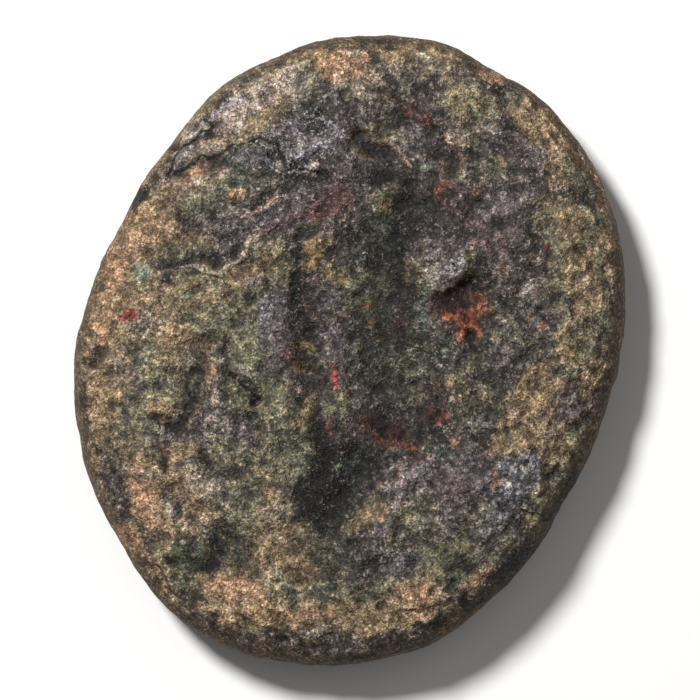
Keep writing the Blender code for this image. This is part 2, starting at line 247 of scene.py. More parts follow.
# Pale lime-rich crust
PALE = (
    Patch(4.0, 3.0, 0.73, 0.4, -10, 1.45),
    Patch(4.5, 1.2, 0.2, 0.16),
    Patch(4.3, 2.9, 0.62, 0.39, -10, 0.95),
    Patch(7.8, 2.4, 0.56, 0.49, 0, 0.92),
    Patch(5.8, 9.0, 0.3, 0.15, -10, 0.9),
    *ovals(0.8, (-6.5, 9.2, 0.6, 0.4, 45), (-2.4, 8.1, 0.8, 0.25, 20), (-1.5, 7.4, 0.5, 0.2, 20)),
    *ovals(0.62, (-2.1, 11.0, 0.65, 0.48), (-4.0, 2.8, 0.62, 0.41)),
    *ovals(0.6, (-2.3, 8.5, 0.9, 0.3, 10), (0.3, 12.3, 0.4, 0.25), (6.5, -5.7, 0.3, 0.2),
        (-6.8, -7.9, 0.3, 0.15, 30), (-5.9, -5.8, 1.0, 0.7), (0.8, 10.9, 0.7, 0.5), (4.1, 2.7, 0.6, 0.3, 20),
        (-5.6, 8.1, 0.7, 0.4, 30)),
    Patch(-4.4, 10.1, 1.9, 0.9, 45, 0.55),
    Patch(-5.4, -3.0, 0.62, 0.52, 0, 0.53),
    *ovals(0.5, (-2.4, 11.6, 0.9, 0.25, 10), (-6.9, 8.2, 0.5, 0.3, 45), (3.2, 12.0, 0.5, 0.3),
        (4.8, 8.9, 0.7, 0.5), (-6.8, -7.2, 0.6, 0.4), (5.4, -3.3, 0.6, 0.5), (6.9, 3.1, 0.6, 0.4),
        (-5.9, 8.2, 0.6, 0.3, 30), (1.1, 10.6, 0.8, 0.5), (6.2, 3.1, 0.6, 0.5), (-2.5, 10.8, 1.2, 0.7, 10),
        (8.5, -3.5, 0.82, 0.52, 60), (-6.8, -0.5, 0.9, 0.7), (-9.6, -0.9, 0.8, 0.8), (2.5, 11.7, 0.8, 0.5),
        (0.1, 11.1, 0.8, 0.5), (-0.9, -11.4, 0.8, 0.4)),
    *ovals(0.45, (-6.2, 6.7, 0.8, 0.5), (-0.8, -8.2, 0.8, 0.5), (2.3, -7.9, 0.8, 0.5, 20),
        (-3.2, 8.6, 0.6, 0.4)),
    *ovals(0.4, (-5.3, 7.5, 0.7, 0.4, 20), (-7.6, -6.6, 0.9, 0.4, 20), (-3.0, -6.8, 0.7, 0.6),
        (-5.4, -3.8, 0.7, 0.5), (-2.9, 1.7, 0.6, 0.5), (1.9, -5.0, 0.5, 0.5, 40), (2.1, -8.6, 0.8, 0.3),
        (9.8, 2.7, 0.5, 0.8), (-8.2, -5.4, 0.7, 0.5), (2.4, 10.9, 0.5, 0.4), (2.4, -2.4, 0.3, 0.2),
        (-8.5, 1.1, 0.8, 0.6), (6.7, -2.8, 0.6, 0.5), (-5.7, -7.6, 0.7, 0.5), (1.6, 9.8, 0.5, 0.4),
        (-4.2, -1.1, 0.5, 0.6), (-2.1, -8.1, 0.7, 0.6), (-5.3, -0.3, 0.6, 0.5), (-5.6, -1.9, 0.5, 0.7),
        (7.2, -3.0, 0.5, 0.5), (4.2, 2.7, 0.5, 0.3, 20), (-1.8, -12.0, 0.7, 0.3)),
    Patch(7.3, -5.0, 0.6, 0.3, 30, 0.3),
    Line(0.09, 0.6, ((-8.2, 2.9), (-7.9, 3.2), (-7.0, 3.4), (-5.7, 3.1), (-5.1, 3.3))),
    Line(0.14, 0.6, ((-5.1, 3.3), (-4.6, 3.8), (-4.1, 4.3), (-3.9, 4.7))),
    Line(0.1, 0.5, ((-2.9, 8.3), (-2.4, 7.7), (-1.6, 7.4), (-0.9, 7.7))),
)

# Pale mint specks and spots
MINT = (
    Patch(-6.7, 2.1, 0.16, 0.12, 0, 1.3),
    Patch(3.2, 7.35, 0.25, 0.12, -25, 1.1),
    Patch(-8.4, -0.3, 0.12, 0.1),
    Patch(4.7, 7.2, 0.3, 0.14, 30, 0.9),
    Patch(-8.7, 3.1, 0.75, 0.4, 100, 0.85),
    *ovals(0.8, (-0.3, -4.9, 0.25, 0.14), (2.9, -5.5, 0.2, 0.1, 60)),
    Patch(4.0, -4.4, 0.5, 0.3, 0, 0.4),
    Patch(-4.1, -0.7, 0.7, 0.5, 80, 0.2),
)

# Rust-orange stains
RUST = (
    Patch(5.0, 1.3, 0.62, 0.5, 30, 1.7),
    Patch(-4.7, 3.15, 0.1, 0.07),
    *ovals(0.8, (0.8, 1.75, 0.16, 0.08, 45), (0.65, 12.05, 0.14, 0.16)),
    *ovals(0.4, (2.0, -4.0, 1.0, 0.3, -8), (3.3, 9.5, 0.3, 0.12, 110)),
    Patch(3.9, -2.8, 0.3, 0.25, 60, 0.3),
    *ovals(0.25, (3.85, 6.5, 0.25, 0.2, 60), (-3.5, 5.9, 0.9, 0.1, 28)),
    Line(0.17, 1.3, ((4.1, 1.45), (5.1, 1.35))),
    Line(0.13, 1.2, ((5.35, 2.15), (5.1, 1.35))),
    Line(0.15, 1.2, ((4.6, 0.4), (5.0, 1.35))),
    Line(0.14, 1.2, ((5.45, 0.65), (5.2, 1.35))),
    Line(0.14, 1.1, ((5.9, 1.7), (5.2, 1.35))),
)

# Bright red oxide
RED = (
    Patch(-9.15, 1.3, 0.42, 0.28, 30, 1.4),
    Patch(8.3, 4.3, 0.25, 0.12, 100, 1.1),
    *ovals(0.9, (-0.6, -1.35, 0.25, 0.3), (4.95, 1.25, 0.38, 0.32)),
    *ovals(0.8, (-0.6, -0.9, 0.35, 0.2, 105), (10.3, 6.1, 0.2, 0.12, 80)),
    Patch(-0.7, -3.5, 0.45, 0.18, 95, 0.6),
    Patch(-1.2, 5.6, 0.3, 0.25, 0, 0.35),
)

# Dull red-brown
MAROON = (
    Patch(4.0, 2.1, 0.9, 0.35, 15, 1.3),
    Patch(1.5, -3.5, 1.58, 0.58, -12, 1.05),
    *ovals(1.0, (3.6, -2.75, 0.4, 0.4, 60), (-0.9, 6.0, 1.3, 0.7, 20)),
    *ovals(0.9, (3.3, 9.6, 0.6, 0.25, 110), (3.85, 6.5, 0.5, 0.4, 60)),
    *ovals(0.8, (3.6, 1.6, 0.6, 0.3, 10), (5.0, 0.4, 0.3, 0.3), (1.7, 10.6, 0.5, 0.3),
        (2.6, 9.9, 0.7, 0.35, -20), (-0.45, 1.3, 0.35, 0.25), (4.9, 1.4, 1.1, 0.8, 20)),
    *ovals(0.7, (0.6, -2.9, 0.6, 0.4), (2.7, -4.6, 0.6, 0.35, -10), (5.4, 6.45, 0.4, 0.2, 20)),
    Patch(1.9, 0.9, 0.8, 0.4, 20, 0.6),
    *ovals(0.5, (-2.9, 5.2, 1.4, 0.4, 25), (-5.4, 7.8, 0.6, 0.3, -30), (8.4, 3.9, 0.4, 0.5),
        (-1.4, 1.8, 0.4, 0.6)),
    Patch(4.2, 7.4, 0.8, 0.9, 0, 0.45),
    *ovals(0.4, (4.6, 5.9, 1.0, 0.5), (2.2, 0.4, 0.7, 0.4), (6.6, 5.0, 0.9, 0.6), (4.5, -5.6, 1.3, 0.7, 20),
        (2.4, -8.2, 0.5, 0.4), (6.0, 4.6, 1.0, 0.8), (-2.4, 0.0, 0.6, 1.2), (3.4, -1.6, 0.7, 0.5)),
    Patch(-2.7, 0.0, 0.8, 0.5, 80, 0.3),
)

# Bluish bloom
BLUE = (
    Patch(7.0, -5.4, 1.6, 0.9, 40, 0.8),
    *ovals(0.6, (6.5, -6.9, 1.2, 0.8, 40), (4.0, -4.4, 0.5, 0.4)),
    Patch(6.2, 10.9, 0.9, 0.5, -20, 0.5),
    Patch(9.3, -2.6, 0.8, 0.6, 70, 0.3),
)

# Painted sheen: flecks and strokes of bright highlight colour where the bare metal is smoothest
PAINTED_SHEEN = (
    Patch(4.4, 3.3, 0.5, 0.3, 0, 0.6),
    *ovals(0.5, (-5.0, 10.4, 0.7, 0.3, 40), (-3.3, 1.6, 0.5, 0.5)),
    *ovals(0.3, (-4.8, 9.6, 1.2, 0.6, 30), (-2.8, 11.0, 1.2, 0.3, 10), (-7.6, -3.5, 0.4, 0.3)),
    Patch(2.0, -8.6, 0.9, 0.3, 0, 0.25),
    Patch(6.3, -5.0, 0.6, 0.5, 40, 0.15),
    Line(0.16, 0.9, ((-3.1, 8.9), (-2.6, 8.3), (-1.8, 8.0), (-1.0, 8.4))),
    Line(0.12, 0.9, ((-1.1, 9.7), (-0.8, 9.3), (-0.7, 8.9))),
    Line(0.1, 0.7, ((-3.6, 7.9), (-2.7, 7.6), (-1.9, 7.3))),
    Line(0.1, 0.8, ((-5.9, 9.6), (-5.3, 10.2), (-4.5, 10.6))),
)

# Violet-grey bare metal
VIOLET = (
    *ovals(1.0, (-1.8, 8.8, 1.6, 1.15, 15), (9.1, -2.3, 0.9, 0.6, 70)),
    *ovals(0.8, (-2.9, 1.3, 0.9, 1.6), (-4.1, 8.0, 0.9, 0.6)),
    *ovals(0.7, (-0.6, 0.6, 0.6, 0.7), (2.6, -5.6, 1.6, 1.0, 20), (5.0, -5.4, 1.6, 0.9, 30),
        (-3.3, 8.4, 0.6, 0.4)),
    *ovals(0.6, (-6.9, 7.9, 1.2, 0.4, 50), (6.4, 5.6, 1.8, 1.2, 70), (-0.8, 2.0, 0.6, 0.5),
        (2.2, -9.0, 1.0, 0.5, 20)),
    *ovals(0.5, (-4.6, 7.4, 0.9, 0.5, -20), (-2.6, 5.6, 3.2, 0.8, 25), (-4.6, -3.4, 1.0, 0.7),
        (3.8, -7.2, 1.4, 0.8, 30), (1.4, -7.4, 0.8, 0.6, 40), (-5.9, -3.2, 0.3, 0.4)),
    *ovals(0.4, (-5.4, 5.5, 1.2, 0.6, 30), (0.7, 7.9, 1.3, 0.8), (2.6, 8.6, 0.8, 0.9),
        (3.6, 4.2, 1.4, 0.7, 10), (6.4, 8.6, 1.6, 0.9, -30), (8.0, 1.6, 1.0, 1.4)),
    Patch(6.5, -0.6, 1.2, 1.6, 0, 0.3),
)

# Black tenorite; in the hollows, the deep pit, the trenches and along the lower right and lower border it is
# also painted shade
BLACK = (
    Patch(-8.8, 6.3, 0.55, 0.32, 60, 1.4),
    *ovals(1.0, (-0.8, -5.6, 2.0, 1.2, 60), (-4.0, -1.9, 0.35, 0.25, -60), (9.1, -6.5, 1.7, 0.5, 62),
        (-1.4, 9.7, 0.7, 0.8)),
    Patch(3.5, -3.2, 0.89, 0.58, 20, 0.98),
    *ovals(0.9, (-1.4, -6.5, 1.0, 0.65, 90), (6.1, 11.0, 0.8, 0.45, -25), (-6.9, -7.8, 0.35, 0.22, 30),
        (-6.0, -9.1, 0.7, 0.25, 10), (-7.35, -8.8, 0.35, 0.25, 130), (5.0, -10.3, 0.5, 0.3, 30),
        (1.3, 12.85, 0.8, 0.16, -5)),
    *ovals(0.8, (2.4, 5.2, 1.8, 0.6, 80), (-5.4, -8.2, 0.4, 0.6), (-10.6, -0.2, 0.9, 0.45, 70),
        (-7.4, 2.9, 0.5, 0.35, 20), (-7.3, -3.3, 0.5, 0.3, 20), (-7.75, -4.8, 0.3, 0.3),
        (-3.0, -11.9, 0.6, 0.25, -15), (3.6, -11.4, 0.6, 0.3, 40), (6.9, -9.0, 1.8, 0.35, 45),
        (-6.0, 9.5, 0.3, 0.2, 50), (-2.3, 12.4, 0.5, 0.16, 15), (-5.3, 10.6, 0.3, 0.18, 40),
        (-7.3, 8.3, 0.3, 0.18, 50), (-4.8, 11.3, 0.3, 0.16, 30), (-8.2, 7.2, 0.3, 0.18, 60),
        (0.2, -12.8, 1.2, 0.25)),
    *ovals(0.7, (5.0, 0.45, 0.25, 0.25), (-2.0, 2.6, 0.4, 0.8), (4.9, 12.0, 0.5, 0.3, -30),
        (-6.8, -10.4, 0.7, 0.4, 120), (9.9, 6.4, 0.5, 0.3, 100), (-2.3, -3.8, 0.5, 0.7),
        (1.2, -4.8, 0.9, 0.4), (-8.4, -8.8, 0.45, 0.74, 40), (0.7, -2.8, 0.8, 0.4, 10),
        (2.6, 0.2, 0.57, 0.57), (3.8, -0.1, 0.5, 0.6), (-11.0, -2.1, 0.3, 0.9)),
    *ovals(0.6, (0.4, -9.1, 1.3, 0.7, 75), (1.8, 9.8, 1.1, 0.4, -10), (5.0, 2.9, 0.3, 0.5, -20),
        (-1.7, 1.2, 0.3, 1.4), (-4.6, -8.1, 0.3, 0.25), (-9.9, -4.5, 0.7, 0.35, 100),
        (-4.1, 2.1, 0.25, 0.3, 20), (2.1, -11.9, 0.4, 0.25, 20), (4.5, -8.9, 0.9, 0.5, 50),
        (10.3, 5.6, 0.7, 0.25, 105), (-4.0, 4.8, 0.8, 0.4, 20), (7.4, -7.5, 0.5, 0.4, 60),
        (3.6, -1.4, 0.5, 0.5), (5.5, -8.1, 0.5, 0.4), (7.0, -8.6, 0.7, 0.35, 50), (-2.4, -2.8, 0.46, 0.67),
        (5.3, -10.3, 0.7, 0.35, 35)),
    *ovals(0.5, (1.3, 7.3, 1.3, 0.7), (0.9, 3.6, 1.0, 0.7), (1.2, 0.5, 1.4, 0.7, 80),
        (-5.4, -11.3, 0.6, 0.25, -30), (-0.5, -12.3, 0.9, 0.18, 3), (-2.1, -2.4, 0.4, 0.6),
        (10.2, -0.4, 0.3, 0.9), (3.8, -5.4, 0.6, 0.4), (3.9, 4.7, 0.7, 0.5), (1.9, 5.3, 0.4, 0.9),
        (-0.5, 0.4, 0.4, 0.5), (-0.9, -1.7, 0.4, 0.5), (-1.7, -2.3, 0.4, 0.5), (1.0, -5.1, 0.6, 0.5),
        (3.8, -3.0, 0.6, 0.4), (-2.6, -2.0, 0.4, 0.4), (2.1, 0.9, 0.5, 0.5), (-9.0, -4.2, 0.5, 0.4),
        (7.1, 10.7, 0.6, 0.35, -30), (-3.9, 7.3, 0.5, 0.4), (2.6, -12.2, 0.6, 0.3, 15),
        (-7.0, 8.6, 0.5, 0.3, 50)),
    Patch(-9.6, -5.8, 0.7, 0.5, 100, 0.45),
    *ovals(0.4, (4.4, 2.2, 0.7, 0.22, 25), (-9.5, -7.1, 0.4, 0.3, 120), (8.3, 1.9, 0.7, 0.5),
        (6.2, -1.2, 0.9, 0.7), (2.2, -3.9, 1.0, 0.3, -10), (3.2, -3.8, 0.8, 0.3, -20),
        (2.5, -12.2, 0.6, 0.2, 15), (3.7, -0.6, 0.4, 1.0), (-5.7, 10.4, 0.5, 0.25, 40), (-6.7, 6.3, 0.6, 0.4),
        (-3.0, 11.9, 0.8, 0.25, 20)),
    Patch(-5.4, -9.5, 0.5, 0.35, 0, 0.35),
    *ovals(0.3, (-2.6, 1.2, 0.9, 2.0), (-6.5, 8.6, 0.7, 0.3, 45)),
    # black streaks along the left mass's trench and groove: painted shade in them
    Line(0.18, 0.5, ((-6.1, -1.0), (-6.3, -1.8), (-6.6, -2.6), (-7.2, -3.2))),
    Line(0.12, 0.6, ((-5.2, 0.1), (-4.8, -0.8), (-4.5, -1.4))),
    Line(0.15, 1.0, ((-4.5, -1.5), (-4.1, -1.8), (-3.8, -2.1))),
    Line(0.1, 0.8, ((-7.95, -3.2), (-7.9, -2.85), (-7.6, -2.75), (-7.35, -3.0), (-7.4, -3.3))),
)

# The patina's layers, with the painted sheen, by the names of the attributes that hold them
LAYERS = {
    "tan": TAN, "peach": PEACH, "khaki": KHAKI, "ochre": OCHRE, "green": GREEN, "pale": PALE,
    "mint": MINT, "maroon": MAROON, "mustard": MUSTARD, "teal": TEAL, "rust": RUST, "red": RED,
    "blue": BLUE, "violet": VIOLET, "painted_sheen": PAINTED_SHEEN, "black": BLACK,
}

# Steps, ridges and grooves, raised or sunk in the mesh
LINES = (
    # the step at the plateau's outer end
    Line(0.1, -0.07, ((-6.1, 9.9), (-5.8, 9.4), (-6.2, 9.1), (-6.6, 8.6), (-7.0, 8.1), (-7.6, 7.4))),
    # the plateau's lower side, below its crack
    Line(0.4, -0.08, ((-6.8, 7.2), (-5.7, 7.6), (-4.7, 8.1))),
    Line(0.34, -0.07, ((-3.3, 7.8), (-2.7, 7.3), (-2.0, 7.0), (-1.2, 7.0))),
    # the ledge over the left mass, and the hollow along its upper side
    Line(0.14, 0.07, (
        (-7.9, 2.6), (-7.7, 3.1), (-7.0, 3.3), (-6.2, 3.35), (-5.3, 3.25), (-4.7, 3.7), (-4.2, 4.0),
        (-4.0, 4.5),
    )),
    Line(0.32, -0.13, ((-7.3, 3.5), (-6.2, 3.7), (-5.4, 3.6), (-4.8, 4.1))),
    # the thin curved ridge at the head of the valley, and the hollow below it
    Line(0.12, 0.07, ((0.8, 9.2), (1.2, 8.8), (1.6, 8.65), (2.1, 8.4), (2.5, 7.9), (2.65, 7.5))),
    Line(0.28, -0.18, ((0.4, 8.6), (0.9, 8.2), (1.7, 8.1))),
    # ridges along the streaked mass
    Line(0.12, 0.1, ((-4.1, 5.45), (-3.4, 5.85), (-2.8, 6.15), (-2.0, 6.7))),
    Line(0.11, 0.1, ((-2.6, 8.0), (-2.0, 8.0), (-1.6, 8.2), (-1.1, 8.6))),
    Line(0.1, 0.1, ((-1.9, 7.15), (-1.4, 7.35), (-0.9, 7.45))),
    # the rim of the deep pit
    Line(0.36, -0.04, ((3.4, 1.6), (4.1, 1.9), (4.8, 2.2), (5.2, 2.7))),
    Line(0.4, 0.07, ((3.2, 2.5), (3.8, 2.8), (4.4, 3.2), (4.7, 3.5))),
    Line(0.14, -0.12, ((4.9, 0.7), (5.1, 0.2), (5.2, -0.2))),
    # the trench and the curved groove on the left mass, with the ridge between them
    Line(0.26, -0.09, ((-5.9, -0.7), (-6.2, -1.5), (-6.6, -2.4), (-7.1, -3.2))),
    Line(0.18, 0.08, ((-5.5, 0.2), (-5.4, -0.9), (-5.4, -1.9))),
    Line(0.18, -0.09, ((-5.2, 0.1), (-4.8, -0.9), (-4.4, -1.5), (-3.7, -2.1))),
    # the valley's bank
    Line(0.45, 0.16, ((-0.2, -9.9), (1.3, -8.0), (2.1, -6.3), (2.9, -5.1))),
    # the groove between the left mass and the middle
    Line(0.36, -0.1, ((-1.9, 4.4), (-2.2, 3.3), (-2.0, 1.6), (-1.6, 0.3), (-1.5, -2.0), (-1.1, -4.5))),
)

# Cracks finer than the mesh, drawn by the material as painted shade. A crack's height is how dark it is at
# most.
CRACKS = (
    Line(0.06, 1.0, (
        (-7.4, 7.3), (-6.7, 7.6), (-6.1, 7.95), (-5.6, 7.9), (-5.1, 8.2), (-4.5, 8.7), (-4.1, 8.75),
        (-3.5, 8.8), (-2.8, 8.1), (-1.9, 7.4), (-1.4, 7.1), (-0.7, 7.0),
    )),
    Line(0.04, 0.8, ((-4.2, 8.4), (-4.1, 8.0), (-3.8, 7.8))),
    Line(0.04, 0.7, ((-2.6, 8.1), (-2.0, 7.9), (-1.5, 7.9), (-0.9, 8.3))),
    Line(0.04, 1.0, ((-6.1, 9.8), (-5.9, 9.3), (-6.4, 8.8), (-7.1, 8.1), (-7.7, 7.2))),
    Line(0.04, 0.8, ((-6.6, -6.2), (-6.2, -6.5), (-5.8, -6.7))),
    Line(0.04, 1.0, ((7.2, -6.9), (7.8, -6.95), (8.5, -7.1))),
    Line(0.04, 0.8, ((-8.1, -9.0), (-7.4, -9.8), (-6.9, -10.4))),
    Line(0.04, 0.7, ((-4.9, 3.0), (-5.6, 3.0), (-6.4, 3.1), (-7.1, 3.0))),
    Line(0.04, 0.7, ((-2.3, 6.0), (-1.4, 6.2), (-0.6, 6.4))),
    Line(0.04, 0.8, ((1.9, -10.9), (3.1, -10.9), (4.2, -10.6))),
)
CRACK_REACH = 0.8  # past this many millimetres a crack is too far to matter
CRACK_FADE = 0.35  # length over which a crack dies away at its ends

PITS = tuple(Pit(*row) for row in (
    (-7.7, -3.0, 0.32, 0.16), (-3.9, -2.1, 0.26, 0.18), (-6.3, -1.1, 0.22, 0.12), (-7.8, -4.9, 0.24, 0.12),
    (-4.1, -2.9, 0.3, 0.12), (-10.3, -4.3, 0.2, 0.1), (-4.15, 2.0, 0.22, 0.08),
    (-10.8, -0.5, 0.3, 0.12), (-11.0, -2.1, 0.22, 0.1), (5.1, 0.5, 0.28, 0.16), (-7.2, -8.8, 0.26, 0.12),
    (-5.9, -8.9, 0.3, 0.1), (-8.8, 6.3, 0.35, 0.12), (2.2, -3.6, 0.25, 0.08), (0.5, 8.9, 0.3, 0.12),
    (3.6, -10.2, 0.14, 0.08), (-7.0, 8.5, 0.5, 0.06), (-5.7, 10.1, 0.4, 0.05), (5.5, 7.6, 0.6, 0.06),
    (-10.0, 3.5, 0.4, 0.05), (-4.0, 3.0, 0.5, -0.08), (7.8, 2.1, 0.45, -0.08), (8.6, -3.7, 0.6, -0.08),
    (6.7, -2.9, 0.5, -0.07), (0.7, 1.6, 0.35, -0.07), (1.4, 2.8, 0.4, -0.06), (-5.8, 8.2, 0.5, -0.07),
    (-5.2, -3.0, 0.5, -0.06), (8.2, 6.8, 0.4, -0.06),
))

# Where the relief is streaked, and where the surface is glossy, which also gathers the painted glints
STREAKED = Patch(-3.0, 5.7, 4.6, 1.9, 24)
GLOSSY = (
    Patch(-2.2, 8.8, 2.6, 1.6, 20),
    *ovals(0.8, (4.0, 2.9, 1.3, 0.9, 20), (-4.2, 10.4, 2.0, 1.0, 30)),
    *ovals(0.6, (-3.0, 5.7, 4.0, 1.6, 24), (7.0, -5.6, 2.0, 1.2, 40)),
    Patch(-2.9, 1.4, 1.2, 2.2, 0, 0.4),
)

# Unevenness that corrosion left in the fine mesh: scale and height in millimetres
CRUST = ((1.9, 0.09), (0.9, 0.10), (0.5, 0.09), (0.26, 0.06))
EDGE_CALM = 0.6  # how much weaker the crust is on the edge
STREAK_LENGTH = 2.6
STREAK_BREADTH = 0.34
STREAK_HEIGHT = 0.05
PIT_LIP_HEIGHT = 0.25  # in shares of the pit's depth
PIT_LIP_PLACE = 1.4  # these two in shares of its radius
PIT_LIP_BREADTH = 0.4

# How far noise leads places astray, so that no patch or line runs true: scale and reach in millimetres
WARP = ((1.1, 0.35), (0.4, 0.16), (0.17, 0.07))

# Shifts that keep one noise from repeating another
WARP_X_SHIFT = 3.1
WARP_Y_SHIFT = 47.9
CRUST_SHIFT = 11.7
REVERSE_SHIFT = 71.3
LAYER_SHIFT = 9.1

# What the reverse wears of each layer, and the size in millimetres of its clouds of them
REVERSE_LAYERS = {"tan": 0.55, "khaki": 0.65, "ochre": 0.15, "green": 0.30, "black": 0.40}
REVERSE_SCALE = 3.4

# Where something comes in: none of it at the first number, all of it at the second
PATCH_EDGE = (1.35, 0.45)  # in shares of a patch's radii
RELIEF_FACING = (-0.2, 0.6)  # by how far the surface faces up, from -1 to 1
OBVERSE_FACING = (-0.25, 0.1)
FLAT_FACING = (0.85, 0.97)
SHADED_FACING = (-0.6, 0.5)  # by how far it faces away from the key light
CALM_STEEPNESS = (0.15, 0.6)  # by how steep it is, from 0 to 1
EDGE_STEEPNESS = (0.06, 0.35)
REVERSE_CLOUDS = (-0.25, 0.35)  # by noise

RESTING_FACING = -0.5  # what faces down more than this isn't pushed below the solid
# The edge's earth shows fully on the side away from the key light and less on the lit side: painted shade
LIT_EDGE = 0.8  # how much of the edge's earth shows on the lit side
OVERLAP = 0.25  # how much a layer's other patches add to its densest one
BLUR_SHARE = 0.6  # how much of a value comes from its neighbours at each turn
HOLLOW_TURNS = 14
BROAD_TURNS = (10, 500)  # the first evens out the grain, the second the whole form

# Colours, as they show on a screen
METAL = (62, 54, 50)
LIGHT_METAL = (82, 75, 69)
KHAKI_TONE = (123, 115, 84)
KHAKI_GREY = (110, 108, 92)
# the colour of the painted glints
PAINTED_GLINT = (205, 200, 200)

# What grains multiply the colour by, from the greenest to the reddest
GREEN_TINT = (0.945, 1.03, 0.965, 1.0)
RED_TINT = (1.06, 0.965, 0.985, 1.0)

# How far grain and lumps break up the lowest crust, and its most cover
KHAKI_COVER = (0.6, 0.7, 0.9)

# What lies over it, from the lowest to the highest, stains, painted sheen and painted shade among them: its
# colour, and the same three numbers
STAINS_AND_PAINTED_LIGHT = {
    "tan": ((144, 122, 93), 0.6, 0.6, 0.95),
    "violet": ((104, 95, 99), 0.8, 0.7, 0.8),
    "green": ((71, 78, 58), 0.7, 0.7, 0.75),
    # the edge's own earth, laid thicker on its shaded side as painted shade
    "edge": ((98, 79, 54), 0.6, 0.8, 0.9),
    "ochre": ((142, 120, 86), 0.6, 0.6, 0.85),
    "blue": ((98, 100, 108), 0.7, 0.7, 0.7),
    # black: tenorite, and painted shade in hollows and along the lower right border
    "black": ((28, 27, 23), 0.8, 0.7, 0.9),
    "peach": ((162, 126, 99), 0.6, 0.7, 0.9),
    "pale": ((160, 148, 136), 1.0, 0.7, 0.8),
    "mint": ((136, 150, 128), 1.0, 0.5, 0.75),
    # painted sheen: highlight colour on the smoothest bare metal
    "painted_sheen": ((158, 152, 160), 1.6, 0.6, 0.8),
    "teal": ((78, 94, 86), 1.0, 0.8, 0.5),
    "mustard": ((122, 104, 70), 0.5, 0.4, 0.85),
    "maroon": ((68, 43, 38), 1.0, 0.9, 0.8),
    "rust": ((166, 98, 68), 0.9, 0.5, 0.9),
    "red": ((124, 52, 47), 1.0, 0.5, 0.85),
}
CRUSTS = ("tan", "edge", "ochre", "peach", "pale", "mint")  # those that hide the metal, as khaki does
COVER_EDGE = (0.04, 0.96)  # between which densities a layer goes from nothing to its most
PAIR_MIX = (0.38, 0.62)  # between which values of noise one colour of a pair gives way to the other

# The patina's noise: size in millimetres, detail, roughness and distortion
GRAIN_NOISE = (0.13, 2.0, 0.65, 0.9)
LUMP_NOISE = (0.45, 3.0, 0.6)
DRIFT_NOISE = (1.8, 2.0, 0.5)
CRACK_NOISE = (0.30, 2.0, 0.6)

# Its grains: their size, and the size and the reach of the noise that jolts them, in millimetres
GRAINS_SIZE = 0.15
GRAINS_JOLT = (0.12, 0.14)
SMALL_SIZE = 0.07
SMALL_JOLT = (0.06, 0.05)

# Its light and dark: the values between which each runs, and what it multiplies the colour by at both
TONES = {
    # hollow and broad_hollow: painted shade in the relief's hollows and painted light on its tops
    "hollow": (-0.05, 0.05, 0.48, 1.42),  # millimetres over what lies next to it
    "broad_hollow": (-0.12, 0.12, 0.50, 1.34),  # millimetres over what lies round it
    "lumps": (0.32, 0.68, 0.78, 1.20),
    # grain and dome follow the bump's height: painted light on grain crests and painted shade in the gaps
    # between grains
    "grain": (0.33, 0.67, 0.44, 1.40),
    "dome": (0.35, 0.75, 1.08, 0.72),  # distance from a grain's middle
    "shade": (0.0, 1.0, 0.76, 1.24),  # a grain's own random number
}
SMALL_TONE = (0.0, 0.9, 0.54, 1.06)  # by a small grain's own
# the lightest small grains get painted glints
SPARKLE_TONE = (0.84, 0.98, 0.0, 0.42)  # added for the lightest small grains
SMALL_POWER = (0.0, 0.8, 0.55, 1.0)  # by crust: bare metal has fainter small grains
BARE_POWER = (0.0, 0.8, 1.12, 1.0)  # by crust: bare metal has a harder light and dark
# the cracks' painted shade
CRACK_TONE = (0.7, 2.0, 0.9, 0.0)  # by distance from a crack, in shares of its width
CRACK_WANDER = 3.0  # how far noise leads a crack astray, in shares of its width

# Its gloss, and its painted glints
SPECULAR_LEVEL = 0.28
ROUGHNESS = (0.0, 1.0, 0.70, 0.36)  # by how glossy a place is
ROUGHNESS_CHANGE = 0.5  # by lumps
# How much painted glint the flecks carry: a little everywhere, more by gloss, in clouds by lumps, on grain
# crests
LEAST_SHINE = 0.10
SHINE_BY_GLOSS = 0.55
SHINE_CLOUDS = (0.44, 0.62, 0.15, 1.0)  # by lumps
FLECK_EDGE = (0.56, 0.70)  # by grain
BUMP_DEPTH = 0.09 * MM
DOME_BUMP = 0.4
SMALL_DOME_BUMP = 0.3


def solid_tree(solid):
    """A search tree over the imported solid's faces."""
    mesh = bmesh.new()
    mesh.from_mesh(solid.data)
    tree = BVHTree.FromBMesh(mesh)
    mesh.free()
    return tree


def cast(tree, start, direction):
    """Where a ray from inside the solid leaves it."""
    return tree.ray_cast(start, direction)[0]


def vertex_rows(mesh, name):
    """The vertices' places, under the name co, or their normals, under the name normal."""
    values = np.empty(len(mesh.vertices) * 3)
    mesh.vertices.foreach_get(name, values)
    return values.reshape(-1, 3)


def sphere_directions():
    """A mesh of a cube cut into cells, and where the usual formula puts its points on a sphere."""
    mesh = bmesh.new()
    bmesh.ops.create_cube(mesh, size=2.0)
    bmesh.ops.subdivide_edges(mesh, edges=mesh.edges, cuts=CUBE_CELLS - 1, use_grid_fill=True)
    data = bpy.data.meshes.new("coin_surface")
    mesh.to_mesh(data)
    mesh.free()
    x, y, z = vertex_rows(data, "co").T
    sphere = np.stack(
        (
            x * np.sqrt(1 - y**2 / 2 - z**2 / 2 + (y * z) ** 2 / 3),
            y * np.sqrt(1 - z**2 / 2 - x**2 / 2 + (z * x) ** 2 / 3),
            z * np.sqrt(1 - x**2 / 2 - y**2 / 2 + (x * y) ** 2 / 3),
        ),
        axis=1,
    )
    return data, sphere


